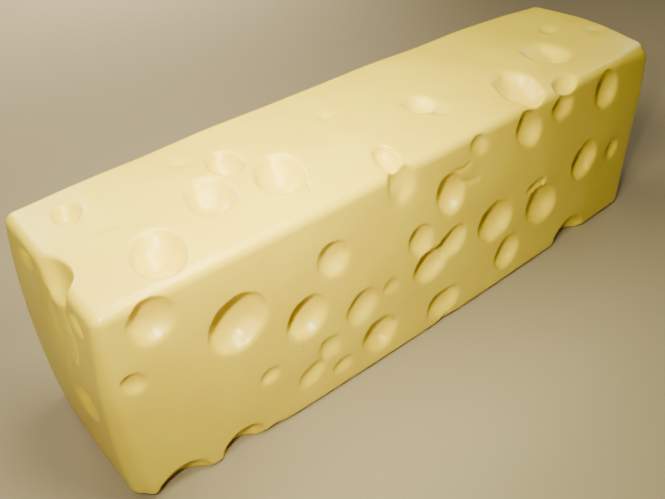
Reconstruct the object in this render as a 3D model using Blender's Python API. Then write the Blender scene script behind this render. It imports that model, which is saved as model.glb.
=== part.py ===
"""Moulded display block of emmental cheese: a long bar with rolled edges and round eyes on every side.

Metres, +Z up. The bar stands on one long narrow side, with its length along X and its front towards -Y.
The origin is under its middle. Everything is laid out on a plain bar, X from the near end, Y from the
front and Z from the base, and the whole is then swollen a little, as a soft moulding is.
"""

import math
import random
from collections import namedtuple

import bmesh
import bpy
from mathutils import Matrix, Vector

# The plain bar
LENGTH = 0.306
WIDTH = 0.075
HEIGHT = 0.100

# How far each face swells, most half way along the named direction, and how far each end leans in
# at its top and out at its foot
FRONT_SWELL = 0.0030
BACK_SWELL = 0.0010
TOP_SWELL_ALONG = 0.0024
TOP_SWELL_ACROSS = 0.0008
NEAR_END = dict(swell_up=0.0030, swell_across=0.0005, lean=0.0010)
FAR_END = dict(swell_up=0.0005, swell_across=0.0010, lean=0.0030)

# Rolled edges: one radius all round, but larger towards the foot of the near front corner, up the far
# back corner and at the far top front corner
EDGE_RADIUS = 0.004
FOOT_RADIUS = 0.010
FAR_RADIUS = 0.009
CORNER_REACH = 0.030
FOOT_REACH = 0.090

# Cross sections cut through the bar, as distances from its ends, its sides and its base and top
NEAR_CUTS = (0.0018, 0.004, 0.008, 0.012, 0.018, 0.032)
FAR_CUTS = (0.0018, 0.004)
BAY = 0.024

# Eyes: each wall ends in a short steep lip, so that its rim is crisp
LIP = 0.0005
LIP_SLOPE = math.radians(56)
LID = 0.0035
SEGMENT_LENGTH = 0.0043
RING_LENGTH = 0.0040

# On each face the eyes lean in under one side of their rim, by this share of the depth.
# The way to that side, in the face's own two directions:
LEAN = 0.14
LEAN_SIDE = {
    "front": (-0.60, 0.80), "back": (0.60, 0.80), "top": (-0.70, -0.70), "under": (0.70, 0.70),
    "near": (-0.95, 0.30), "far": (0.80, 0.60),
}

SEED = 21
CLEAR = 0.0025
REST_SPOT = 0.022
DRAWS = 4000

CREAM = (0.86, 0.69, 0.30, 1.0)

Eye = namedtuple("Eye", "u v long short turn depth")

# Front: u is X, v is Z and turn is degrees from +X towards +Z
FRONT_EYES = [
    Eye(0.0194, 0.0893, 0.0094, 0.0079, -64, 0.0069),
    Eye(0.0514, 0.0686, 0.0126, 0.0118, -98, 0.0110),
    Eye(0.0812, 0.0528, 0.0101, 0.0089, -104, 0.0087),
    Eye(0.0101, 0.0673, 0.0051, 0.0034, -56, 0.0031),
    Eye(0.0619, 0.0338, 0.0039, 0.0034, 14, 0.0025),
    Eye(0.0815, 0.0203, 0.0069, 0.0048, 34, 0.0029),
    Eye(0.0973, 0.0146, 0.0049, 0.0037, 16, 0.0023),
    Eye(0.0914, 0.0301, 0.0055, 0.0052, -50, 0.0027),
    Eye(0.0945, 0.0746, 0.0090, 0.0069, -58, 0.0055),
    Eye(0.1089, 0.0414, 0.0086, 0.0073, -120, 0.0048),
    Eye(0.1243, 0.0441, 0.0036, 0.0032, 0, 0.0012),
    Eye(0.1189, 0.0188, 0.0096, 0.0092, 137, 0.0080),
    Eye(0.1414, 0.0597, 0.0085, 0.0064, -66, 0.0052),
    Eye(0.1484, 0.0423, 0.0095, 0.0089, 0, 0.0074),
    Eye(0.1615, 0.0483, 0.0089, 0.0077, 28, 0.0062),
    Eye(0.1580, 0.0138, 0.0103, 0.0079, 2, 0.0063),
    Eye(0.1575, 0.0755, 0.0110, 0.0075, -65, 0.0082),
    Eye(0.1907, 0.0452, 0.0117, 0.0104, 137, 0.0088),
    Eye(0.2029, 0.0202, 0.0099, 0.0084, -92, 0.0077),
    Eye(0.2200, 0.0521, 0.0071, 0.0032, 5, 0.0021),
    Eye(0.2261, 0.0380, 0.0132, 0.0103, -46, 0.0087),
    Eye(0.2590, 0.0500, 0.0107, 0.0095, -85, 0.0086),
    Eye(0.2848, 0.0461, 0.0059, 0.0051, -99, 0.0033),
    Eye(0.2669, 0.0871, 0.0111, 0.0081, -61, 0.0085),
    Eye(0.2061, 0.0881, 0.0109, 0.0071, -53, 0.0066),
    Eye(0.2304, 0.0903, 0.0079, 0.0060, -16, 0.0041),
    Eye(0.1722, 0.0933, 0.0060, 0.0040, -38, 0.0022),
    Eye(0.1280, 0.0955, 0.0106, 0.0064, -77, 0.0040),
    # Cut through by the bottom edge
    Eye(0.0178, 0.0018, 0.0122, 0.0104, 19, 0.0076),
    Eye(0.0458, 0.0037, 0.0100, 0.0084, 14, 0.0074),
    Eye(0.0592, -0.0025, 0.0089, 0.0065, -1, 0.0022),
    Eye(0.2564, 0.0017, 0.0133, 0.0124, -2, 0.0078),
    Eye(0.1596, -0.0008, 0.0079, 0.0044, 2, 0.0022),
]

# Top: u is X, v is Y, turn is degrees from +X towards +Y
TOP_EYES = [
    Eye(0.0185, 0.0566, 0.0066, 0.0051, -121, 0.0043),
    Eye(0.0322, 0.0159, 0.0124, 0.0094, -111, 0.0082),
    Eye(0.0626, 0.0320, 0.0112, 0.0096, -106, 0.0065),
    Eye(0.0789, 0.0461, 0.0086, 0.0068, -104, 0.0070),
    Eye(0.0903, 0.0269, 0.0126, 0.0098, -120, 0.0082),
    Eye(0.1292, 0.0477, 0.0028, 0.0024, 0, 0.0009),
    Eye(0.1677, 0.0303, 0.0073, 0.0071, -87, 0.0050),
    Eye(0.1711, 0.0212, 0.0045, 0.0035, -4, 0.0012),
    Eye(0.1281, 0.0092, 0.0082, 0.0047, -123, 0.0047),
    Eye(0.2135, 0.0133, 0.0151, 0.0102, -122, 0.0081),
    Eye(0.2516, 0.0264, 0.0110, 0.0100, -68, 0.0047),
    Eye(0.2327, 0.0021, 0.0095, 0.0061, 20, 0.0046),
]

# Near end: u is Y, v is Z, turn is degrees from +Y towards +Z
NEAR_EYES = [
    Eye(0.0530, 0.0920, 0.0060, 0.0036, 166, 0.0028),
    Eye(0.0129, 0.0898, 0.0042, 0.0027, 32, 0.0020),
    Eye(0.0232, 0.0455, 0.0112, 0.0074, 150, 0.0041),
    # The scoop that takes a bite out of the top edge
    Eye(0.0300, 0.1000, 0.0115, 0.0110, 90, 0.0068),
]

# Folds that run down the near end from that scoop, as (Y, Z) points, with how deep they are pressed in
NEAR_FOLDS = [
    [(0.0192, 0.0960), (0.0221, 0.0899), (0.0224, 0.0850), (0.0192, 0.0780), (0.0189, 0.0727)],
    [(0.0305, 0.0835), (0.0284, 0.0759), (0.0287, 0.0680), (0.0301, 0.0600), (0.0286, 0.0533)],
]
FOLD_RADIUS = 0.0028
FOLD_DEPTH = 0.0010
FOLD_SIDES = 8

# The faces that the eyes above leave bare get as many, as uneven and as far apart:
# eyes to place, their largest and smallest radius, and the margin that they keep from each edge
HIDDEN = {
    "back": dict(count=30, large=0.0125, small=0.0035, margins=(0.012, 0.012, -0.004, 0.013)),
    "far": dict(count=6, large=0.0105, small=0.0045, margins=(0.012, 0.018, 0.010, 0.013)),
    "under": dict(count=15, large=0.0115, small=0.0045, margins=(0.014, 0.014, 0.014, -0.003)),
}


def clear_scene():
    for thing in list(bpy.data.objects):
        bpy.data.objects.remove(thing, do_unlink=True)


def cheese_material():
    material = bpy.data.materials.new("moulded_cheese")
    material.use_nodes = True
    shader = material.node_tree.nodes["Principled BSDF"]
    shader.inputs["Base Color"].default_value = CREAM
    shader.inputs["Roughness"].default_value = 0.38
    shader.inputs["Metallic"].default_value = 0.0
    material.diffuse_color = CREAM
    return material


def rolled(corner):
    """A point of the plain bar moved onto its rolled form.

    Each point keeps its nearest point of a core one edge radius inside the bar, and ends up one radius
    away from it.
    """
    near = max(0.0, 1.0 - (LENGTH / 2 + corner.x) / CORNER_REACH)
    far = max(0.0, 1.0 - (LENGTH / 2 - corner.x) / CORNER_REACH)
    front = max(0.0, 1.0 - (WIDTH / 2 + corner.y) / CORNER_REACH)
    back = max(0.0, 1.0 - (WIDTH / 2 - corner.y) / CORNER_REACH)
    low = max(0.0, 1.0 - corner.z / FOOT_REACH)
    high = max(0.0, 1.0 - (HEIGHT - corner.z) / CORNER_REACH)
    radius = EDGE_RADIUS + (FOOT_RADIUS - EDGE_RADIUS) * near * front * low
    radius += (FAR_RADIUS - EDGE_RADIUS) * far * max(back, front * high)
    half = Vector((LENGTH / 2 - radius, WIDTH / 2 - radius, HEIGHT / 2 - radius))
    middle = Vector((0.0, 0.0, HEIGHT / 2))
    core = Vector(max(-h, min(h, p)) for p, h in zip(corner - middle, half)) + middle
    return core + (corner - core).normalized() * radius


def end_reach(end, across, up):
    """How far one end stands out past the plain bar: its swell by two parabolas, and its lean."""
    return end["swell_up"] * (1 - up * up) + end["swell_across"] * (1 - across * across) - end["lean"] * up


def swollen(point):
    """A point of the plain bar after its faces swell.

    Each face's own reach fades to nothing at the opposite face, so the base stays flat.
    """
    along, across, up = 2 * point.x / LENGTH, 2 * point.y / WIDTH, 2 * point.z / HEIGHT - 1
    bow = 1 - along * along
    far, near = (1 + along) / 2, (1 - along) / 2
    back, front, top = (1 + across) / 2, (1 - across) / 2, (1 + up) / 2
    return point + Vector((
        far * end_reach(FAR_END, across, up) - near * end_reach(NEAR_END, across, up),
        (back * BACK_SWELL - front * FRONT_SWELL) * bow,
        top * (TOP_SWELL_ALONG * bow + TOP_SWELL_ACROSS * (1 - across * across)),
    ))


def stations(size, low_cuts, high_cuts):
    """Places of the cross sections along one side of the bar: close at its ends, one a bay between."""
    first, last = low_cuts[-1], size - high_cuts[-1]
    bays = math.ceil((last - first) / BAY)
    between = [first + (last - first) * i / bays for i in range(1, bays)]
    return [*low_cuts, *between, *(size - cut for cut in reversed(high_cuts))]


def make_block():
    """A box cut by cross sections, whose points are then moved onto the rolled and swollen form."""
    bm = bmesh.new()
    bmesh.ops.create_cube(bm, size=1.0, matrix=Matrix.Diagonal((LENGTH, WIDTH, HEIGHT, 1.0)))
    bmesh.ops.translate(bm, verts=bm.verts, vec=(0.0, 0.0, HEIGHT / 2))
    starts = (-LENGTH / 2, -WIDTH / 2, 0.0)
    cuts = (
        stations(LENGTH, NEAR_CUTS, FAR_CUTS),
        stations(WIDTH, NEAR_CUTS[:4], FAR_CUTS),
        stations(HEIGHT, NEAR_CUTS[:4], FAR_CUTS),
    )
    for axis, (start, places) in enumerate(zip(starts, cuts)):
        normal = Vector((axis == 0, axis == 1, axis == 2))
        for place in places:
            whole = bm.verts[:] + bm.edges[:] + bm.faces[:]
            bmesh.ops.bisect_plane(bm, geom=whole, plane_co=normal * (start + place), plane_no=normal)
    for vert in bm.verts:
        vert.co = swollen(rolled(vert.co))
    bmesh.ops.recalc_face_normals(bm, faces=bm.faces)
    mesh = bpy.data.meshes.new("cheese_block")
    bm.to_mesh(mesh)
    bm.free()
    block = bpy.data.objects.new("cheese_block", mesh)
    bpy.context.scene.collection.objects.link(block)
    return block


def place_on(face, u, v):
    """Frame of a place on one face of the plain bar: local Z points out, local X along u, local Y along v."""
    if face in ("front", "back"):
        side = -1.0 if face == "front" else 1.0
        spot = Vector((u - LENGTH / 2, side * WIDTH / 2, v))
        axes = (Vector((1, 0, 0)), Vector((0, 0, 1)), Vector((0, side, 0)))
    elif face in ("top", "under"):
        side = 1.0 if face == "top" else -1.0
        spot = Vector((u - LENGTH / 2, v - WIDTH / 2, HEIGHT if side > 0 else 0.0))
        axes = (Vector((1, 0, 0)), Vector((0, 1, 0)), Vector((0, 0, side)))
    else:
        side = -1.0 if face == "near" else 1.0
        spot = Vector((side * LENGTH / 2, u - WIDTH / 2, v))
        axes = (Vector((0, 1, 0)), Vector((0, 0, 1)), Vector((side, 0, 0)))
    frame = Matrix((axes[0], axes[1], axes[2])).transposed().to_4x4()
    frame.translation = spot
    return frame


def bowl_profile(radius, depth):
    """Radius and height of each ring of an eye's wall, from its floor to a lid above the face.

    The wall is the cap of a ball. The lip goes on from its edge in a straight line through the face.
    """
    ball = (radius ** 2 + depth ** 2) / (2.0 * depth)
    rim = math.atan2(radius, ball - depth)
    edge = math.acos((ball - depth + LIP) / ball)
    rings = max(1, round(ball * edge / RING_LENGTH))
    angles = [edge * ring / rings for ring in range(1, rings + 1)]
    wall = [(ball * math.sin(angle), ball * (1.0 - math.cos(angle)) - depth) for angle in angles]
    return [*wall, (wall[-1][0] + (LIP + LID) / math.tan(max(rim, LIP_SLOPE)), LID)]


def add_bowl(bm, face, eye):
    """One eye's cutter: its wall's profile turned once round, stretched to the eye's oval and leaning."""
    mean = math.sqrt(eye.long * eye.short)
    profile = bowl_profile(mean, eye.depth)
    sides = max(8, 2 * round(math.pi * mean / SEGMENT_LENGTH))
    oval = Matrix.Diagonal((eye.long / mean, eye.short / mean, 1.0, 1.0))
    frame, shape = place_on(face, eye.u, eye.v), Matrix.Rotation(math.radians(eye.turn), 4, "Z") @ oval
    lean = Vector((*LEAN_SIDE[face], 0.0)) * LEAN
    floor = bm.verts.new(frame @ (Vector((0.0, 0.0, -eye.depth)) + lean * eye.depth))
    rings = []
    for radius, height in profile:
        shift = lean * max(0.0, -height)
        turns = [2.0 * math.pi * (side + 0.5) / sides for side in range(sides)]
        points = [Vector((radius * math.cos(turn), radius * math.sin(turn), height)) for turn in turns]
        rings.append([bm.verts.new(frame @ (shape @ point + shift)) for point in points])
    for side in range(sides):
        after = (side + 1) % sides
        bm.faces.new((floor, rings[0][after], rings[0][side]))
        for lower, upper in zip(rings, rings[1:]):
            bm.faces.new((lower[side], lower[after], upper[after], upper[side]))
    bm.faces.new(rings[-1])


def add_fold(bm, points):
    """A fold's cutter: a round bar along its points, sunk so that it presses only so deep."""
    rings = []
    for i, (u, v) in enumerate(points):
        before, after = points[max(0, i - 1)], points[min(len(points) - 1, i + 1)]
        along = Vector((0.0, after[0] - before[0], after[1] - before[1])).normalized()
        across = along.cross(Vector((1, 0, 0)))
        end = i in (0, len(points) - 1)
        sunk = (0.1 if end else 1.0) * FOLD_DEPTH
        centre = place_on("near", u, v) @ Vector((0.0, 0.0, FOLD_RADIUS - sunk))
        turns = [2.0 * math.pi * side / FOLD_SIDES for side in range(FOLD_SIDES)]
        rings.append([
            bm.verts.new(centre + FOLD_RADIUS * (Vector((1, 0, 0)) * math.cos(turn) + across * math.sin(turn)))
            for turn in turns])
    for low, high in zip(rings, rings[1:]):
        for side in range(FOLD_SIDES):
            after = (side + 1) % FOLD_SIDES
            bm.faces.new((low[side], low[after], high[after], high[side]))
    bm.faces.new(rings[0])
    bm.faces.new(rings[-1])


def scattered_eyes(face, rng):
    """Eyes for a face by a rule: a seeded draw of place and size, kept where it is clear of the rest."""
    rule = HIDDEN[face]
    across, upright = (WIDTH, HEIGHT) if face == "far" else (LENGTH, WIDTH if face == "under" else HEIGHT)
    left, right, low, high = rule["margins"]
    eyes = []
    for _ in range(DRAWS):
        if len(eyes) == rule["count"]:
            break
        share = 1.0 - len(eyes) / rule["count"]
        mean = rule["small"] + (rule["large"] - rule["small"]) * share * rng.uniform(0.75, 1.0)
        stretch = rng.uniform(1.0, 1.16)
        u = rng.uniform(left, across - right)
        v = rng.uniform(low, upright - high)
        turn, depth = rng.uniform(0, 180), mean * rng.uniform(0.55, 0.85)
        rest = face == "under" and math.hypot(u - LENGTH / 2, v - WIDTH / 2) < REST_SPOT + mean
        crowded = any(
            math.hypot(u - e.u, v - e.v) < mean * stretch + e.long + CLEAR for e in eyes)
        if not rest and not crowded:
            eyes.append(Eye(u, v, mean * stretch, mean / stretch, turn, depth))
    return eyes


def make_eye_cutter():
    """Every eye and fold as one wire cutter that the block's Boolean takes away."""
    rng = random.Random(SEED)
    faces = {"front": FRONT_EYES, "top": TOP_EYES, "near": NEAR_EYES}
    faces.update({face: scattered_eyes(face, rng) for face in HIDDEN})
    bm = bmesh.new()
    for face, eyes in faces.items():
        for eye in eyes:
            add_bowl(bm, face, eye)
    for points in NEAR_FOLDS:
        add_fold(bm, points)
    for vert in bm.verts:
        vert.co = swollen(vert.co)
    bmesh.ops.recalc_face_normals(bm, faces=bm.faces)
    mesh = bpy.data.meshes.new("eye_cutter")
    bm.to_mesh(mesh)
    bm.free()
    cutter = bpy.data.objects.new("eye_cutter", mesh)
    bpy.context.scene.collection.objects.link(cutter)
    cutter.hide_render = True
    cutter.display_type = "WIRE"
    return cutter


def centre_over_origin(block, *others):
    """Moves the meshes together so that the block's box stands centred over the origin."""
    xs, ys, _ = zip(*(vert.co for vert in block.data.vertices))
    middle = Vector((min(xs) + max(xs), min(ys) + max(ys), 0.0)) / 2
    for thing in (block, *others):
        thing.data.transform(Matrix.Translation(-middle))


def make_cheese():
    block, cutter = make_block(), make_eye_cutter()
    centre_over_origin(block, cutter)
    block.data.materials.append(cheese_material())
    cut = block.modifiers.new("eyes", "BOOLEAN")
    cut.operation = "DIFFERENCE"
    cut.solver = "EXACT"
    cut.use_self = True
    cut.object = cutter
    return block


def main():
    clear_scene()
    make_cheese()


main()
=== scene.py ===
import math
import random
from collections import namedtuple

import bpy
import numpy as np
from mathutils import Matrix, Vector


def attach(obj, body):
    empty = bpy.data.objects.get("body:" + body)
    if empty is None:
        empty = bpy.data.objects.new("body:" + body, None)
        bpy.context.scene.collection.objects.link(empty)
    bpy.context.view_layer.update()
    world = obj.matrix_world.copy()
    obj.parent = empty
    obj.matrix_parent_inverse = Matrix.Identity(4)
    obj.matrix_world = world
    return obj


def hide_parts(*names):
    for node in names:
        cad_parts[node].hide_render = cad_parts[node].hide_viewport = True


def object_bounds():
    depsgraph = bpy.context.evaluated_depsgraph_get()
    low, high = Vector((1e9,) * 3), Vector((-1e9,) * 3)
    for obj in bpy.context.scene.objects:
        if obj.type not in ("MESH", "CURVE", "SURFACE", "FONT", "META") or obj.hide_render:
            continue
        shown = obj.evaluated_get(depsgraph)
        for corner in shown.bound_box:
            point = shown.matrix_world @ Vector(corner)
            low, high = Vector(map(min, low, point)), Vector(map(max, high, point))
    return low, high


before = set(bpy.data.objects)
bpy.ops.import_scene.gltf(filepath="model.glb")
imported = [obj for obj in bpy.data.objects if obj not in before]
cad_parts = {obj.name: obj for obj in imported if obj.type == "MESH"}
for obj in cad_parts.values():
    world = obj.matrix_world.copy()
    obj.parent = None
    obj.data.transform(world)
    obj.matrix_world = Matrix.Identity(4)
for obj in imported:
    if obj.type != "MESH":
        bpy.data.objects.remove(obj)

cad_low, cad_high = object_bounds()

# The plain bar, in metres
BAR = np.array((0.306, 0.075, 0.100))
LENGTH, WIDTH, HEIGHT = BAR

# How far each face swells, most half way along the named direction, and how far each end leans in
# at its top and out at its foot
FRONT_SWELL = 0.0030
BACK_SWELL = 0.0010
TOP_SWELL_ALONG = 0.0024
TOP_SWELL_ACROSS = 0.0008
NEAR_END = dict(swell_up=0.0030, swell_across=0.0005, lean=0.0010)
FAR_END = dict(swell_up=0.0005, swell_across=0.0010, lean=0.0030)

# Rolled edges: one radius all round, but larger towards the foot of the near front corner, up the far
# back corner and at the far top front corner
EDGE_RADIUS = 0.004
FOOT_RADIUS = 0.010
FAR_RADIUS = 0.009
CORNER_REACH = 0.030
FOOT_REACH = 0.090

# The skin's grid before it is thinned, and how many triangles it keeps
GRID_STEP = 0.00055
SKIN_TRIANGLES = 188000

# Eyes are pressed in towards a core this far inside the bar, in steps that each go a share of what is left.
# An eye acts on the points within its long radius times the gain, and a little more.
PRESS_CORE = 0.020
PRESS_STEPS = 30
PRESS_SHARE = 0.8
LEAST_SLOPE = 0.25
REACH_GAIN = 1.3
REACH_MORE = 0.004

# On each face the eyes lean in under one side of their rim, which is crisp, and roll softly over the other.
# The way to the crisp side, in the face's own two directions:
CRISP_SIDE = {
    "front": (-0.60, 0.80), "back": (0.60, 0.80), "top": (-0.70, -0.70), "under": (0.70, 0.70),
    "near": (-0.95, 0.30), "far": (0.80, 0.60),
}
LEAN = 0.14
RIM_CRISP = 0.00025
RIM_SOFT = 0.00085

# The skin's grid is spread evenly down the eyes' walls, but not close to the bar's edges
STEEPEST = math.radians(82)
SPREAD_FADE = 0.006

# The eyes of the faces that the photograph doesn't show follow a rule: each is a share of its turn's size,
# stretched a little, and as deep as a share of its radius
SEED = 21
SIZE_SHARES = (0.75, 1.0)
STRETCHES = (1.0, 1.16)
DEPTH_SHARES = (0.55, 0.85)
CLEAR = 0.0025
REST_SPOT = 0.022
DRAWS = 4000

# An eye: its place on its face, its long and short radii, the turn of the long one, its depth, and, where
# they aren't the usual ones, how many times as soft its rim is and how far it leans
Eye = namedtuple("Eye", "u v long short turn depth soft lean", defaults=(1.0, LEAN))

# Front: u is X from the near end, v is Z and turn is degrees from +X towards +Z
FRONT_EYES = [
    Eye(0.0194, 0.0893, 0.0094, 0.0079, -64, 0.0069),
    Eye(0.0514, 0.0686, 0.0126, 0.0118, -98, 0.0110),
    Eye(0.0812, 0.0528, 0.0101, 0.0089, -104, 0.0087),
    Eye(0.0101, 0.0673, 0.0051, 0.0034, -56, 0.0031),
    Eye(0.0619, 0.0338, 0.0039, 0.0034, 14, 0.0025),
    Eye(0.0815, 0.0203, 0.0069, 0.0048, 34, 0.0029),
    Eye(0.0973, 0.0146, 0.0049, 0.0037, 16, 0.0023),
    Eye(0.0914, 0.0301, 0.0055, 0.0052, -50, 0.0027),
    Eye(0.0945, 0.0746, 0.0090, 0.0069, -58, 0.0055),
    Eye(0.1089, 0.0414, 0.0086, 0.0073, -120, 0.0048, 1.3),
    Eye(0.1243, 0.0441, 0.0036, 0.0032, 0, 0.0012),
    Eye(0.1189, 0.0188, 0.0096, 0.0092, 137, 0.0080),
    Eye(0.1414, 0.0597, 0.0085, 0.0064, -66, 0.0052),
    Eye(0.1484, 0.0423, 0.0095, 0.0089, 0, 0.0074),
    Eye(0.1615, 0.0483, 0.0089, 0.0077, 28, 0.0062),
    Eye(0.1580, 0.0138, 0.0103, 0.0079, 2, 0.0063),
    Eye(0.1575, 0.0755, 0.0110, 0.0075, -65, 0.0082),
    Eye(0.1907, 0.0452, 0.0117, 0.0104, 137, 0.0088),
    Eye(0.2029, 0.0202, 0.0099, 0.0084, -92, 0.0077),
    Eye(0.2200, 0.0521, 0.0071, 0.0032, 5, 0.0021),
    Eye(0.2261, 0.0380, 0.0132, 0.0103, -46, 0.0087),
    Eye(0.2590, 0.0500, 0.0107, 0.0095, -85, 0.0086),
    Eye(0.2848, 0.0461, 0.0059, 0.0051, -99, 0.0033),
    Eye(0.2669, 0.0871, 0.0111, 0.0081, -61, 0.0085),
    Eye(0.2061, 0.0881, 0.0109, 0.0071, -53, 0.0066),
    Eye(0.2304, 0.0903, 0.0079, 0.0060, -16, 0.0041),
    Eye(0.1722, 0.0933, 0.0060, 0.0040, -38, 0.0022),
    Eye(0.1280, 0.0955, 0.0106, 0.0064, -77, 0.0040, 1.5),
    # Cut through by the bottom edge
    Eye(0.0178, 0.0018, 0.0122, 0.0104, 19, 0.0076),
    Eye(0.0458, 0.0037, 0.0100, 0.0084, 14, 0.0074),
    Eye(0.0592, -0.0025, 0.0089, 0.0065, -1, 0.0022),
    Eye(0.2564, 0.0017, 0.0133, 0.0124, -2, 0.0078),
    Eye(0.1596, -0.0008, 0.0079, 0.0044, 2, 0.0022),
]

# Top: u is X, v is Y and turn is degrees from +X towards +Y
TOP_EYES = [
    Eye(0.0185, 0.0566, 0.0066, 0.0051, -121, 0.0043),
    Eye(0.0322, 0.0159, 0.0124, 0.0094, -111, 0.0082),
    Eye(0.0626, 0.0320, 0.0112, 0.0096, -106, 0.0065),
    Eye(0.0789, 0.0461, 0.0086, 0.0068, -104, 0.0070),
    Eye(0.0903, 0.0269, 0.0126, 0.0098, -120, 0.0082),
    Eye(0.1292, 0.0477, 0.0028, 0.0024, 0, 0.0009),
    Eye(0.1677, 0.0303, 0.0073, 0.0071, -87, 0.0050),
    Eye(0.1711, 0.0212, 0.0045, 0.0035, -4, 0.0012),
    Eye(0.1281, 0.0092, 0.0082, 0.0047, -123, 0.0056, 0.4, -0.45),
    Eye(0.2135, 0.0133, 0.0151, 0.0102, -122, 0.0081),
    Eye(0.2516, 0.0264, 0.0110, 0.0100, -68, 0.0047, 1.3),
    Eye(0.2327, 0.0021, 0.0095, 0.0061, 20, 0.0046),
    # Faint dimples
    Eye(0.0645, 0.0580, 0.0030, 0.0026, 0, 0.0006),
    Eye(0.2760, 0.0430, 0.0042, 0.0034, 30, 0.0009),
    Eye(0.2940, 0.0275, 0.0036, 0.0030, 0, 0.0008),
]

# Near end: u is Y, v is Z and turn is degrees from +Y towards +Z
NEAR_EYES = [
    Eye(0.0530, 0.0920, 0.0060, 0.0036, 166, 0.0028),
    Eye(0.0129, 0.0898, 0.0042, 0.0027, 32, 0.0020),
    Eye(0.0232, 0.0455, 0.0112, 0.0074, 150, 0.0041),
    # The scoop that takes a bite out of the top edge
    Eye(0.0300, 0.1000, 0.0115, 0.0110, 90, 0.0068),
]

HIDDEN = {
    "back": dict(count=30, large=0.0125, small=0.0035, margins=(0.012, 0.012, -0.004, 0.013)),
    "far": dict(count=6, large=0.0105, small=0.0045, margins=(0.012, 0.018, 0.010, 0.013)),
    "under": dict(count=15, large=0.0115, small=0.0045, margins=(0.014, 0.014, 0.014, -0.003)),
}

# Folds and grooves of the skin: the way of the line on its face in metres, how deep the skin drops at the
# line, and how far it takes to rise again on the line's left. On its right it drops within the fold's edge.
Fold = namedtuple("Fold", "face path drop rise edge", defaults=(0.0003,))
FOLDS = [
    # Below the scoop in the near top edge
    Fold("near", ((0.0192, 0.0985), (0.0200, 0.0955), (0.0221, 0.0905), (0.0206, 0.0854), (0.0178, 0.0805),
                  (0.0174, 0.0742), (0.0200, 0.0670)), 0.0023, 0.0026, 0.0005),
    Fold("near", ((0.0300, 0.0870), (0.0293, 0.0810), (0.0290, 0.0740), (0.0276, 0.0685), (0.0290, 0.0620),
                  (0.0297, 0.0580), (0.0284, 0.0534), (0.0225, 0.0530)), 0.0022, 0.0032, 0.0005),
    Fold("near", ((0.0444, 0.0760), (0.0401, 0.0725), (0.0350, 0.0700), (0.0323, 0.0650)),
         0.0012, 0.0026, 0.0005),
    Fold("near", ((0.0366, 0.0900), (0.0352, 0.0840), (0.0346, 0.0780), (0.0350, 0.0730)),
         0.0012, 0.0024, 0.0005),
    # The crease on the top beside the scoop, and the slit beside an eye
    Fold("top", ((0.0078, 0.0370), (0.0114, 0.0386), (0.0156, 0.0398), (0.0210, 0.0393), (0.0264, 0.0388),
                 (0.0330, 0.0350)), 0.0004, 0.0030, 0.0005),
    Fold("top", ((0.0946, 0.0182), (0.0947, 0.0165), (0.0931, 0.0130), (0.0924, 0.0105)), 0.0012, 0.0010),
    # The crisp line round the eye that breaks the front top edge
    Fold("top", ((0.1338, 0.0104), (0.1337, 0.0148), (0.1310, 0.0165), (0.1269, 0.0149), (0.1234, 0.0105),
                 (0.1221, 0.0056), (0.1233, 0.0026)), 0.0012, 0.0010, 0.0004),
    # The rim that two joined eyes of the front share
    Fold("front", ((0.1630, 0.0560), (0.1574, 0.0537), (0.1545, 0.0508), (0.1474, 0.0506), (0.1421, 0.0486),
                   (0.1395, 0.0421)), 0.0012, 0.0022),
    # The two grooves that run on from an eye's rim under the top edge
    Fold("front", ((0.1690, 0.0868), (0.1671, 0.0863), (0.1642, 0.0851), (0.1605, 0.0859),
                   (0.1568, 0.0864)), 0.0006, 0.0020, 0.0009),
    Fold("front", ((0.1630, 0.0790), (0.1665, 0.0778), (0.1710, 0.0766), (0.1760, 0.0752)),
         0.0006, 0.0026, 0.0018),
]
FOLD_STEPS = 12
FOLD_REACH = 5

# The skin isn't quite flat, and the eyes aren't quite oval: waves of these heights, between these lengths
WAVE_HEIGHT = 0.00028
WAVE_LENGTHS = (0.016, 0.060)
WAVE_COUNT = 14
WAVE_FADE = 0.015
WOBBLE = 0.00045
WOBBLE_LENGTHS = (0.006, 0.014)

# Camera, fitted to the block's edges in the photograph
PHOTO_WIDTH = 665
FOCAL_PIXELS = 735.9
SENSOR = 36.0
CAMERA_PLACE = Vector((-0.1937, -0.2045, 0.2553))
CAMERA_HEADING = math.radians(38.73)
CAMERA_DIP = math.radians(39.30)
CAMERA_ROLL = math.radians(1.351)

# The colour's patches, the skin's grain and a few specks: how close they lie, and how large they are
PATCHES_PER_METRE = 28.0
GRAINS_PER_METRE = 170.0
GRAIN_HEIGHT = 0.0006
SPECKS_PER_METRE = 60.0
SPECK_RADIUS = 0.0004

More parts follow.
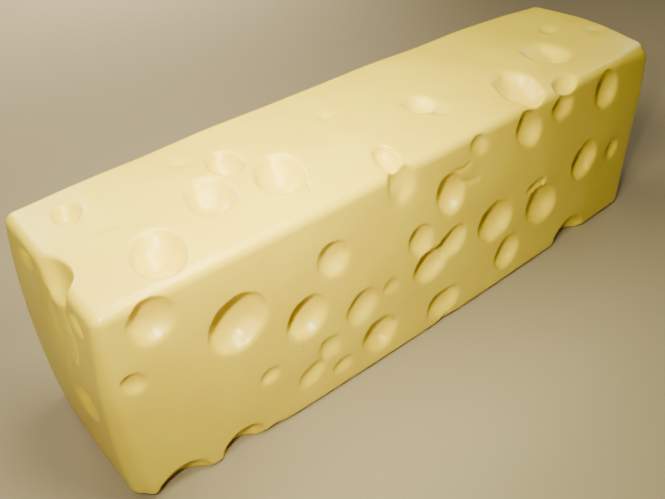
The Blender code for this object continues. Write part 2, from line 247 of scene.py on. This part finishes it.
# Lamps: their places and what they are aimed at in metres, their width, power in watts and spread in
# degrees. The key stands beside the lens. The two over the block are a little greener, for its lemon top.
LAMP_WHITE = "#fff1cb"
TOP_WHITE = "#fbf4c2"
SKY_WHITE = "#fbfcff"
SKY_STRENGTH = 0.04
KEY_PLACE = (-0.2060, -0.1751, 0.2739)
Lamp = namedtuple("Lamp", "name place aim size power spread white", defaults=(180.0, LAMP_WHITE))
LAMPS = [
    Lamp("key", KEY_PLACE, (0.0, 0.03, 0.10), 0.02, 0.245, 100.0),
    Lamp("key_centre", KEY_PLACE, (-0.08, -0.03, 0.09), 0.02, 0.08, 50.0),
    Lamp("front_lamp", (-0.08, -0.10, 0.265), (-0.03, 0.0, 0.06), 0.08, 0.70, white=TOP_WHITE),
    Lamp("back_lamp", (-0.08, 0.02, 0.265), (-0.03, 0.0, 0.06), 0.12, 0.77, white=TOP_WHITE),
    Lamp("side_lamp", (-0.34, -0.12, 0.20), (-0.15, 0.0, 0.05), 0.04, 0.20),
    Lamp("behind_lamp", (-0.15, 0.60, 0.40), (0.0, 0.0, 0.03), 0.30, 3.0),
    Lamp("far_lamp", (0.50, 0.05, 0.25), (0.15, 0.0, 0.05), 0.20, 0.30),
    Lamp("floor_lamp", (0.30, 0.60, 0.50), (0.10, 0.60, 0.0), 0.15, 2.2, 90.0),
]

FLOOR_REACH = 4.0


def linear(code, alpha=1.0):
    """An sRGB hex colour as linear red, green, blue and alpha."""
    parts = [int(code[i:i + 2], 16) / 255 for i in (1, 3, 5)]
    return (*(p / 12.92 if p <= 0.04045 else ((p + 0.055) / 1.055) ** 2.4 for p in parts), alpha)


def box_grid(cells):
    """The whole-number grid of a box's six sides: each grid point once, and outward quads between them."""
    points, quads, first = [], [], 0
    for axis in range(3):
        u, v = (axis + 1) % 3, (axis + 2) % 3
        for side in (0, cells[axis]):
            a, b = np.meshgrid(np.arange(cells[u] + 1), np.arange(cells[v] + 1), indexing="ij")
            patch = np.empty(a.shape + (3,), int)
            patch[..., axis], patch[..., u], patch[..., v] = side, a, b
            index = first + np.arange(a.size).reshape(a.shape)
            corners = [index[:-1, :-1], index[1:, :-1], index[1:, 1:], index[:-1, 1:]]
            if side == 0:
                corners.reverse()
            points.append(patch.reshape(-1, 3))
            quads.append(np.stack(corners, -1).reshape(-1, 4))
            first += a.size
    points, quads = np.concatenate(points), np.concatenate(quads)
    key = (points[:, 0] * (cells[1] + 1) + points[:, 1]) * (cells[2] + 1) + points[:, 2]
    _, once, same = np.unique(key, return_index=True, return_inverse=True)
    return points[once], same[quads]


def rolled(corner):
    """Points of the plain bar moved onto its rolled form.

    Each point keeps its nearest point of a core one edge radius inside the bar, and ends up one radius
    away from it.
    """
    near, far, front, back = (
        np.clip(1 - (size / 2 + side * corner[:, axis]) / CORNER_REACH, 0, None)
        for axis, size in ((0, LENGTH), (1, WIDTH)) for side in (1, -1))
    low = np.clip(1 - corner[:, 2] / FOOT_REACH, 0, None)
    high = np.clip(1 - (HEIGHT - corner[:, 2]) / CORNER_REACH, 0, None)
    radius = EDGE_RADIUS + (FOOT_RADIUS - EDGE_RADIUS) * near * front * low
    radius = (radius + (FAR_RADIUS - EDGE_RADIUS) * far * np.maximum(back, front * high))[:, None]
    middle = np.array((0.0, 0.0, HEIGHT / 2))
    half = BAR / 2 - radius
    core = np.clip(corner - middle, -half, half) + middle
    away = corner - core
    return core + away / np.linalg.norm(away, axis=1, keepdims=True) * radius


def end_reach(end, across, up):
    """How far one end stands out past the plain bar: its swell by two parabolas, and its lean."""
    return end["swell_up"] * (1 - up * up) + end["swell_across"] * (1 - across * across) - end["lean"] * up


def swollen(point):
    """Points of the plain bar after its faces swell.

    Each face's own reach fades to nothing at the opposite face, so the base stays flat.
    """
    along, across, up = (2 * point / BAR - np.array((0, 0, 1))).T
    bow = 1 - along * along
    far, near = (1 + along) / 2, (1 - along) / 2
    back, front, top = (1 + across) / 2, (1 - across) / 2, (1 + up) / 2
    return point + np.stack((
        far * end_reach(FAR_END, across, up) - near * end_reach(NEAR_END, across, up),
        (back * BACK_SWELL - front * FRONT_SWELL) * bow,
        top * (TOP_SWELL_ALONG * bow + TOP_SWELL_ACROSS * (1 - across * across)),
    ), 1)


def settled(point, whole):
    """Points of the pressed bar, swollen and moved as the frame's box holds the whole bar.

    Side by side the scale differs from one only by the frame's rounding.
    """
    low, high = whole.min(0), whole.max(0)
    return np.array(cad_low) + (swollen(point) - low) * (np.array(cad_high - cad_low) / (high - low))


def inward(corner):
    """The way that each point is pressed in: from the bar's surface to its nearest point of the core."""
    middle = np.array((0.0, 0.0, HEIGHT / 2))
    half = BAR / 2 - PRESS_CORE
    way = np.clip(corner - middle, -half, half) + middle - corner
    return way / np.linalg.norm(way, axis=1, keepdims=True)


def place_on(face, u, v):
    """A place on one face of the plain bar: its point, and the directions of u, of v and outwards."""
    if face in ("front", "back"):
        side = -1.0 if face == "front" else 1.0
        spot = (u - LENGTH / 2, side * WIDTH / 2, v)
        axes = ((1, 0, 0), (0, 0, 1), (0, side, 0))
    elif face in ("top", "under"):
        side = 1.0 if face == "top" else -1.0
        spot = (u - LENGTH / 2, v - WIDTH / 2, HEIGHT if side > 0 else 0.0)
        axes = ((1, 0, 0), (0, 1, 0), (0, 0, side))
    else:
        side = -1.0 if face == "near" else 1.0
        spot = (side * LENGTH / 2, u - WIDTH / 2, v)
        axes = ((0, 1, 0), (0, 0, 1), (side, 0, 0))
    return np.array(spot), np.array(axes, float)


def scattered_eyes(face, rng):
    """Eyes for a face by a rule: a seeded draw of place and size, kept where it is clear of the rest."""
    rule = HIDDEN[face]
    across, upright = (WIDTH, HEIGHT) if face == "far" else (LENGTH, WIDTH if face == "under" else HEIGHT)
    left, right, low, high = rule["margins"]
    eyes = []
    for _ in range(DRAWS):
        if len(eyes) == rule["count"]:
            break
        share = 1.0 - len(eyes) / rule["count"]
        mean = rule["small"] + (rule["large"] - rule["small"]) * share * rng.uniform(*SIZE_SHARES)
        stretch = rng.uniform(*STRETCHES)
        u = rng.uniform(left, across - right)
        v = rng.uniform(low, upright - high)
        turn, depth = rng.uniform(0, 180), mean * rng.uniform(*DEPTH_SHARES)
        rest = face == "under" and math.hypot(u - LENGTH / 2, v - WIDTH / 2) < REST_SPOT + mean
        crowded = any(
            math.hypot(u - e.u, v - e.v) < mean * stretch + e.long + CLEAR for e in eyes)
        if not rest and not crowded:
            eyes.append(Eye(u, v, mean * stretch, mean / stretch, turn, depth))
    return eyes


def all_eyes():
    rng = random.Random(SEED)
    faces = {"front": FRONT_EYES, "top": TOP_EYES, "near": NEAR_EYES}
    faces.update({face: scattered_eyes(face, rng) for face in HIDDEN})
    return [(face, eye) for face, eyes in faces.items() for eye in eyes]


def spread(corner):
    """Points of the plain bar's faces, moved outwards inside each eye.

    A point at a share r of the way to the rim goes to sin(r a) / sin(a) of it, with a the slope of the
    eye's wall at its rim, so that the points are even along the wall once they are pressed in.
    """
    corner = corner.copy()
    middle = np.array((0.0, 0.0, HEIGHT / 2))
    for face, eye in all_eyes():
        spot, (along, up, out) = place_on(face, eye.u, eye.v)
        near = np.flatnonzero(np.abs((corner - spot) @ out) < 1e-7)
        offset = corner[near] - spot
        turn = math.radians(eye.turn)
        axis_long = (along * math.cos(turn) + up * math.sin(turn)) * eye.long
        axis_short = (up * math.cos(turn) - along * math.sin(turn)) * eye.short
        far = np.hypot(offset @ axis_long / eye.long ** 2, offset @ axis_short / eye.short ** 2)
        near, offset, far = near[far < 1], offset[far < 1], np.maximum(far[far < 1], 1e-6)
        slope = min(2 * math.atan(eye.depth / math.sqrt(eye.long * eye.short)), STEEPEST)
        gain = np.sin(far * slope) / (far * math.sin(slope)) - 1
        inside = np.sort(BAR / 2 - np.abs(corner[near] - middle), axis=1)[:, 1]
        gain *= np.clip(inside / SPREAD_FADE, 0, 1)
        corner[near] += offset * gain[:, None]
    return corner


def hollow(face, eye):
    """An eye as a hollow ball, stretched to its oval and leaning: its centre, its axes and its three radii.

    The ball's cap under the face is as wide as the eye's rim and as deep as the eye. Under the face it
    shifts towards the crisp side by the lean times the depth.
    """
    spot, (along, up, out) = place_on(face, eye.u, eye.v)
    mean = math.sqrt(eye.long * eye.short)
    ball = (mean ** 2 + eye.depth ** 2) / (2 * eye.depth)
    turn = math.radians(eye.turn)
    crisp = (along * CRISP_SIDE[face][0] + up * CRISP_SIDE[face][1]) * eye.lean
    first = along * math.cos(turn) + up * math.sin(turn)
    second = up * math.cos(turn) - along * math.sin(turn)
    axes = np.array((first + out * (first @ crisp), second + out * (second @ crisp), out))
    centre = spot + (out - crisp) * (ball - eye.depth)
    return centre, axes, np.array((eye.long / mean, eye.short / mean, 1.0)) * ball


def pressed(point, way):
    """How far each point of the bar is pressed in by the eyes.

    A point goes inwards until it stands on the wall of every hollow that it is in. Hollows and the open
    air join by a soft minimum of their distances, which rounds each rim by the rim's own softness.
    """
    rows, balls, rims, softs = [], [], [], []
    for face, eye in all_eyes():
        spot, (along, up, _) = place_on(face, eye.u, eye.v)
        near = np.flatnonzero(np.linalg.norm(point - spot, axis=1) < REACH_GAIN * eye.long + REACH_MORE)
        rows.append(near)
        balls.append(hollow(face, eye))
        offset = point[near] - spot
        away = np.maximum(np.linalg.norm(offset, axis=1), 1e-9)
        facing = offset @ (along * CRISP_SIDE[face][0] + up * CRISP_SIDE[face][1]) / away
        rims.append(np.abs(away / math.sqrt(eye.long * eye.short) - 1))
        crisp = RIM_CRISP * max(1.0, eye.soft ** 2)
        softs.append(crisp + (RIM_SOFT * eye.soft - crisp) * (0.5 - 0.5 * facing))
    which = np.repeat(np.arange(len(rows)), [len(r) for r in rows])
    rows = np.concatenate(rows)
    centre, axes, radii = (np.array(a) for a in zip(*balls))
    touched, slot = np.unique(rows, return_inverse=True)
    start = np.einsum("nij,nj->ni", axes[which], point[rows] - centre[which])
    step = np.einsum("nij,nj->ni", axes[which], way[rows])
    size = radii[which]

    def distance(depth):
        """From each hollow's wall, below nought inside it: an ellipsoid's usual first-order distance.

        With it comes how fast it changes along the way in.
        """
        at = start + step * depth[slot][:, None]
        far, fall = np.linalg.norm(at / size, axis=1), np.linalg.norm(at / size ** 2, axis=1)
        rate = np.einsum("ni,ni->n", at / size ** 2, step) / np.maximum(fall, 1e-9)
        return far * (far - 1.0) / np.maximum(fall, 1e-9), rate

    # First the exact depth at which a point in one hollow leaves it
    a = np.einsum("ni,ni->n", step / size, step / size)
    b = np.einsum("ni,ni->n", start / size, step / size)
    c = np.einsum("ni,ni->n", start / size, start / size) - 1
    depth = np.zeros(len(touched))
    np.maximum.at(depth, slot, np.where(c < 0, (np.sqrt(np.maximum(b * b - a * c, 0)) - b) / a, 0))
    # Each point takes the softness of the rim that it is nearest to
    order = np.lexsort((np.concatenate(rims), slot))
    first = order[np.searchsorted(slot[order], np.arange(len(touched)))]
    soft = np.concatenate(softs)[first]
    for _ in range(PRESS_STEPS):
        gap, rate = distance(depth)
        pull = np.exp(-np.clip(gap / soft[slot], -60, 60))
        air = np.exp(-depth / soft)
        total = air + np.bincount(slot, pull, len(touched))
        slope = (air + np.bincount(slot, pull * rate, len(touched))) / total
        depth = np.maximum(depth + PRESS_SHARE * soft * np.log(total) / np.maximum(slope, LEAST_SLOPE), 0.0)
    whole = np.zeros(len(point))
    whole[touched] = depth
    return whole


def smooth_path(places):
    """A smooth line through the places: between each two, a cubic with the tangents of their neighbours."""
    places = np.array(places)
    ends = np.vstack((2 * places[0] - places[1], places, 2 * places[-1] - places[-2]))
    t = np.linspace(0, 1, FOLD_STEPS, endpoint=False)[:, None]
    runs = []
    for a, b, c, d in zip(ends, ends[1:], ends[2:], ends[3:]):
        runs.append(b + t / 2 * (c - a + t * (2 * a - 5 * b + 4 * c - d + t * (3 * (b - c) + d - a))))
    return np.vstack(runs + [places[-1:]])


def folded(point):
    """How far the folds press each point in: a drop at the line, and a slow rise to its left."""
    depth = np.zeros(len(point))
    for fold in FOLDS:
        spot, (along, up, out) = place_on(fold.face, 0.0, 0.0)
        path = smooth_path(fold.path)
        flat = np.stack(((point - spot) @ along, (point - spot) @ up), 1)
        low, high = path.min(0) - FOLD_REACH * fold.rise, path.max(0) + FOLD_REACH * fold.rise
        near = np.flatnonzero(
            np.all((flat > low) & (flat < high), axis=1) & (np.abs((point - spot) @ out) < 2 * EDGE_RADIUS))
        start, run = path[:-1], np.diff(path, axis=0)
        offset = flat[near][:, None] - start
        share = np.clip((offset * run).sum(2) / (run * run).sum(1), 0, 1)
        gap = offset - share[:, :, None] * run
        which = np.argmin((gap * gap).sum(2), axis=1)
        row = np.arange(len(near))
        gap, run = gap[row, which], run[which]
        far = np.linalg.norm(gap, axis=1)
        left = (run[:, 0] * gap[:, 1] - run[:, 1] * gap[:, 0]) > 0
        along_path = (which + share[row, which]) / len(start)
        fade = np.sqrt(np.sin(np.pi * np.clip(along_path, 0, 1)))
        shape = np.where(left, np.exp(-far / fold.rise), np.exp(-(far / fold.edge) ** 2))
        depth[near] += fold.drop * fade * shape
    return depth


def waves(point, lengths, seed):
    """A sum of plane waves of drawn directions, lengths and phases, that stays mostly between -1 and 1."""
    rng = np.random.default_rng(seed)
    way = rng.normal(size=(WAVE_COUNT, 3))
    way /= np.linalg.norm(way, axis=1, keepdims=True)
    length = rng.uniform(*lengths, WAVE_COUNT)
    phase = rng.uniform(0, 2 * np.pi, WAVE_COUNT)
    return np.sin(point @ (way / length[:, None]).T * 2 * np.pi + phase) @ length / length.sum() * 2


def rippled(point):
    """The skin's faint unevenness, which fades out towards the flat base."""
    fade = np.clip(point[:, 2] / WAVE_FADE, 0, 1)
    return WAVE_HEIGHT * (1 + waves(point, WAVE_LENGTHS, SEED)) * fade


def wobbled(point):
    """Points shifted a little along X, Y and Z by waves, so that what is pressed in there is uneven."""
    return point + WOBBLE * np.stack([waves(point, WOBBLE_LENGTHS, SEED + axis) for axis in (1, 2, 3)], 1)


def make_skin():
    """The block's skin: the rolled and swollen bar on one fine grid, with the eyes pressed into it."""
    grid, quads = box_grid(np.round(BAR / GRID_STEP).astype(int))
    corner = spread(grid / grid.max(0) * BAR - np.array((LENGTH / 2, WIDTH / 2, 0.0)))
    point = rolled(corner)
    way = inward(corner)
    uneven = wobbled(point)
    depth = pressed(uneven, way) + folded(uneven) + rippled(point)
    point = settled(point + way * depth[:, None], swollen(point))
    mesh = bpy.data.meshes.new("cheese_skin")
    mesh.vertices.add(len(point))
    mesh.vertices.foreach_set("co", point.astype(np.float32).ravel())
    mesh.loops.add(quads.size)
    mesh.loops.foreach_set("vertex_index", quads.ravel().astype(np.int32))
    mesh.polygons.add(len(quads))
    mesh.polygons.foreach_set("loop_start", np.arange(0, quads.size, 4, dtype=np.int32))
    mesh.update(calc_edges=True)
    mesh.validate()
    skin = bpy.data.objects.new("cheese_skin", mesh)
    bpy.context.scene.collection.objects.link(skin)
    thin = skin.modifiers.new("thin", "DECIMATE")
    thin.ratio = SKIN_TRIANGLES / (2 * len(quads))
    graph = bpy.context.evaluated_depsgraph_get()
    fine = bpy.data.meshes.new_from_object(skin.evaluated_get(graph))
    skin.modifiers.clear()
    skin.data = fine
    fine.name = "cheese_skin"
    fine.shade_smooth()
    return skin


def add(nodes, kind, settings=None, **links):
    """Adds a node, sets its settings and fills its inputs with values or links."""
    node = nodes.new(kind)
    for name, value in (settings or {}).items():
        setattr(node, name, value)
    for name, value in links.items():
        socket = node.inputs[name.replace("_", " ")]
        if isinstance(value, bpy.types.NodeSocket):
            node.id_data.links.new(value, socket)
        else:
            socket.default_value = value
    return node


def cheese_material():
    """Self-skinned moulding in cream yellow: a satin skin with a broad soft sheen and a few dirt specks."""
    material = bpy.data.materials.new("moulded_cheese_skin")
    material.use_nodes = True
    nodes, links = material.node_tree.nodes, material.node_tree.links
    shader = nodes["Principled BSDF"]
    place = add(nodes, "ShaderNodeTexCoord").outputs["Object"]
    patches = add(nodes, "ShaderNodeTexNoise", Vector=place, Scale=PATCHES_PER_METRE, Detail=3.0)
    tint = add(nodes, "ShaderNodeValToRGB", Fac=patches.outputs["Fac"])
    tint.color_ramp.elements[0].position, tint.color_ramp.elements[0].color = 0.35, linear("#e8ce2a")
    tint.color_ramp.elements[1].position, tint.color_ramp.elements[1].color = 0.68, linear("#eedb38")
    grains = add(nodes, "ShaderNodeTexVoronoi", Vector=place, Scale=SPECKS_PER_METRE)
    speck = add(nodes, "ShaderNodeMapRange", Value=grains.outputs["Distance"],
                From_Min=SPECK_RADIUS * SPECKS_PER_METRE, From_Max=0.5 * SPECK_RADIUS * SPECKS_PER_METRE)
    speckled = add(nodes, "ShaderNodeMix", {"data_type": "RGBA"})
    links.new(speck.outputs["Result"], speckled.inputs["Factor"])
    links.new(tint.outputs["Color"], speckled.inputs[6])
    speckled.inputs[7].default_value = linear("#7d6420")
    links.new(speckled.outputs[2], shader.inputs["Base Color"])
    grain = add(nodes, "ShaderNodeTexNoise", Vector=place, Scale=GRAINS_PER_METRE, Detail=2.0)
    bump = add(nodes, "ShaderNodeBump", Height=grain.outputs["Fac"], Strength=0.10, Distance=GRAIN_HEIGHT)
    links.new(bump.outputs["Normal"], shader.inputs["Normal"])
    shader.inputs["Roughness"].default_value = 0.36
    shader.inputs["Specular IOR Level"].default_value = 1.0
    shader.inputs["IOR"].default_value = 1.46
    shader.inputs["Subsurface Weight"].default_value = 0.12
    shader.inputs["Subsurface Radius"].default_value = (1.0, 0.85, 0.25)
    shader.inputs["Subsurface Scale"].default_value = 0.0015
    return material


def floor_material():
    """Pale matt laminate: even and dull, so that only the block draws the eye."""
    material = bpy.data.materials.new("pale_laminate")
    material.use_nodes = True
    shader = material.node_tree.nodes["Principled BSDF"]
    shader.inputs["Base Color"].default_value = linear("#9a917e")
    shader.inputs["Roughness"].default_value = 0.75
    return material


def make_floor():
    mesh = bpy.data.meshes.new("floor")
    corners = [(x * FLOOR_REACH, y * FLOOR_REACH, 0.0) for x, y in ((-1, -1), (1, -1), (1, 1), (-1, 1))]
    mesh.from_pydata(corners, [], [(0, 1, 2, 3)])
    floor = bpy.data.objects.new("floor", mesh)
    bpy.context.scene.collection.objects.link(floor)
    mesh.materials.append(floor_material())


def make_camera():
    data = bpy.data.cameras.new("camera")
    data.sensor_width = SENSOR
    data.lens = FOCAL_PIXELS * SENSOR / PHOTO_WIDTH
    data.clip_start = 0.01
    camera = bpy.data.objects.new("camera", data)
    turn = Matrix.Rotation(-CAMERA_HEADING, 4, "Z") @ Matrix.Rotation(math.pi / 2 - CAMERA_DIP, 4, "X")
    camera.matrix_world = Matrix.Translation(CAMERA_PLACE) @ turn @ Matrix.Rotation(-CAMERA_ROLL, 4, "Z")
    bpy.context.scene.collection.objects.link(camera)
    bpy.context.scene.camera = camera


def make_lamp(lamp):
    data = bpy.data.lights.new(lamp.name, "AREA")
    data.shape = "DISK"
    data.size = lamp.size
    data.energy = lamp.power
    data.spread = math.radians(lamp.spread)
    data.color = linear(lamp.white)[:3]
    light = bpy.data.objects.new(lamp.name, data)
    light.location = lamp.place
    light.rotation_mode = "QUATERNION"
    light.rotation_quaternion = (Vector(lamp.aim) - Vector(lamp.place)).to_track_quat("-Z", "Y")
    bpy.context.scene.collection.objects.link(light)


def make_lights():
    """A small key beside the lens, soft lamps over, beside and behind the block, and a faint sky."""
    for lamp in LAMPS:
        make_lamp(lamp)
    world = bpy.data.worlds.new("soft_sky")
    world.use_nodes = True
    sky = world.node_tree.nodes["Background"]
    sky.inputs["Color"].default_value = linear(SKY_WHITE)
    sky.inputs["Strength"].default_value = SKY_STRENGTH
    bpy.context.scene.world = world


def main():
    skin = make_skin()
    skin.data.materials.append(cheese_material())
    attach(skin, "root")
    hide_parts("cheese_block")
    make_floor()
    make_camera()
    make_lights()


main()
